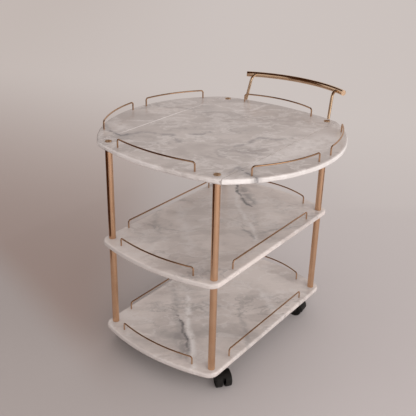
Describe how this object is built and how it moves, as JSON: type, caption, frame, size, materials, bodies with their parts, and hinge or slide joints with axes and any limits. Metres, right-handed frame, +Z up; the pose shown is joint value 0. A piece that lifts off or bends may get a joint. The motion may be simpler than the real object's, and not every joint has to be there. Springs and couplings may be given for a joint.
{
  "type": "tea trolley",
  "caption": "Rolling tea trolley with a drop-leaf top, two shelves on tube posts, wire gallery rails, a bowed push handle and twin-wheel swivel casters.",
  "frame": {"origin": "centre of the bounding box on the floor, with both leaves raised", "axes": "+X along the trolley towards the push handle, +Y towards the back leaf, +Z up"},
  "size_m": [0.8494, 0.763, 0.8125],
  "materials": {
    "marble_board": "grey marble look laminate, glossy, rounded edges",
    "rose_metal": "rose gold plated tube and wire, polished",
    "black_plastic": "moulded, fine grain",
    "wheel_plastic": "moulded, semi gloss tread",
    "zinc_steel": "zinc plated"
  },
  "bodies": {
    "root": {"top_panel": "marble_board", "middle_shelf": "marble_board", "bottom_shelf": "marble_board", "top_end_rail": "rose_metal", "top_handle_end_rail": "rose_metal", "middle_end_rail": "rose_metal", "middle_handle_end_rail": "rose_metal", "middle_front_rail": "rose_metal", "middle_back_rail": "rose_metal", "bottom_end_rail": "rose_metal", "bottom_handle_end_rail": "rose_metal", "bottom_front_rail": "rose_metal", "bottom_back_rail": "rose_metal", "front_left_upper_post": "rose_metal", "front_left_lower_post": "rose_metal", "front_right_upper_post": "rose_metal", "front_right_lower_post": "rose_metal", "back_left_upper_post": "rose_metal", "back_left_lower_post": "rose_metal", "back_right_upper_post": "rose_metal", "back_right_lower_post": "rose_metal", "cap_screws": "rose_metal", "joining_studs": "zinc_steel", "foot_bolts": "zinc_steel", "board_screws": "zinc_steel", "flap_hinge_bases": "zinc_steel", "flap_hinge_bolts": "zinc_steel", "flap_hinge_nuts": "zinc_steel", "handle_bar": "rose_metal", "front_handle_rod": "rose_metal", "back_handle_rod": "rose_metal", "caster_plates": "zinc_steel", "caster_kingpins": "zinc_steel"},
    "front_leaf": {"front_leaf": "marble_board", "front_leaf_rail_left": "rose_metal", "front_leaf_rail_right": "rose_metal", "front_leaf_hinge_arms": "zinc_steel", "front_leaf_screws": "zinc_steel"},
    "back_leaf": {"back_leaf": "marble_board", "back_leaf_rail_left": "rose_metal", "back_leaf_rail_right": "rose_metal", "back_leaf_hinge_arms": "zinc_steel", "back_leaf_screws": "zinc_steel"},
    "front_left_swivel": {"front_left_caster_hood": "black_plastic", "front_left_caster_axle": "zinc_steel"},
    "front_left_wheel_a": {"front_left_caster_wheel_a": "wheel_plastic"},
    "front_left_wheel_b": {"front_left_caster_wheel_b": "wheel_plastic"},
    "front_right_swivel": {"front_right_caster_hood": "black_plastic", "front_right_caster_axle": "zinc_steel"},
    "front_right_wheel_a": {"front_right_caster_wheel_a": "wheel_plastic"},
    "front_right_wheel_b": {"front_right_caster_wheel_b": "wheel_plastic"},
    "back_left_swivel": {"back_left_caster_hood": "black_plastic", "back_left_caster_axle": "zinc_steel"},
    "back_left_wheel_a": {"back_left_caster_wheel_a": "wheel_plastic"},
    "back_left_wheel_b": {"back_left_caster_wheel_b": "wheel_plastic"},
    "back_right_swivel": {"back_right_caster_hood": "black_plastic", "back_right_caster_axle": "zinc_steel"},
    "back_right_wheel_a": {"back_right_caster_wheel_a": "wheel_plastic"},
    "back_right_wheel_b": {"back_right_caster_wheel_b": "wheel_plastic"}
  },
  "joints": [
    {"name": "front_leaf_hinge", "type": "hinge", "parent": "root", "child": "front_leaf", "pos_m": [-0.05475, -0.228, 0.7087], "axis": [1, 0, 0], "range_deg": [0, 90]},
    {"name": "back_leaf_hinge", "type": "hinge", "parent": "root", "child": "back_leaf", "pos_m": [-0.05475, 0.228, 0.7087], "axis": [-1, 0, 0], "range_deg": [0, 90]},
    {"name": "front_left_swivel_turn", "type": "hinge", "parent": "root", "child": "front_left_swivel", "pos_m": [-0.30275, -0.2, 0.0693], "axis": [0, 0, 1], "continuous": true},
    {"name": "front_left_wheel_a_roll", "type": "hinge", "parent": "front_left_swivel", "child": "front_left_wheel_a", "pos_m": [-0.31199, -0.21182, 0.025], "axis": [0.788, -0.6157, 0], "continuous": true},
    {"name": "front_left_wheel_b_roll", "type": "hinge", "parent": "front_left_swivel", "child": "front_left_wheel_b", "pos_m": [-0.31199, -0.21182, 0.025], "axis": [0.788, -0.6157, 0], "continuous": true},
    {"name": "front_right_swivel_turn", "type": "hinge", "parent": "root", "child": "front_right_swivel", "pos_m": [0.19325, -0.2, 0.0693], "axis": [0, 0, 1], "continuous": true},
    {"name": "front_right_wheel_a_roll", "type": "hinge", "parent": "front_right_swivel", "child": "front_right_wheel_a", "pos_m": [0.1909, -0.18518, 0.025], "axis": [-0.9877, -0.1564, 0], "continuous": true},
    {"name": "front_right_wheel_b_roll", "type": "hinge", "parent": "front_right_swivel", "child": "front_right_wheel_b", "pos_m": [0.1909, -0.18518, 0.025], "axis": [-0.9877, -0.1564, 0], "continuous": true},
    {"name": "back_left_swivel_turn", "type": "hinge", "parent": "root", "child": "back_left_swivel", "pos_m": [-0.30275, 0.2, 0.0693], "axis": [0, 0, 1], "continuous": true},
    {"name": "back_left_wheel_a_roll", "type": "hinge", "parent": "back_left_swivel", "child": "back_left_wheel_a", "pos_m": [-0.31666, 0.20562, 0.025], "axis": [-0.3746, -0.9272, 0], "continuous": true},
    {"name": "back_left_wheel_b_roll", "type": "hinge", "parent": "back_left_swivel", "child": "back_left_wheel_b", "pos_m": [-0.31666, 0.20562, 0.025], "axis": [-0.3746, -0.9272, 0], "continuous": true},
    {"name": "back_right_swivel_turn", "type": "hinge", "parent": "root", "child": "back_right_swivel", "pos_m": [0.19325, 0.2, 0.0693], "axis": [0, 0, 1], "continuous": true},
    {"name": "back_right_wheel_a_roll", "type": "hinge", "parent": "back_right_swivel", "child": "back_right_wheel_a", "pos_m": [0.20539, 0.20882, 0.025], "axis": [-0.5878, 0.809, 0], "continuous": true},
    {"name": "back_right_wheel_b_roll", "type": "hinge", "parent": "back_right_swivel", "child": "back_right_wheel_b", "pos_m": [0.20539, 0.20882, 0.025], "axis": [-0.5878, 0.809, 0], "continuous": true}
  ]
}
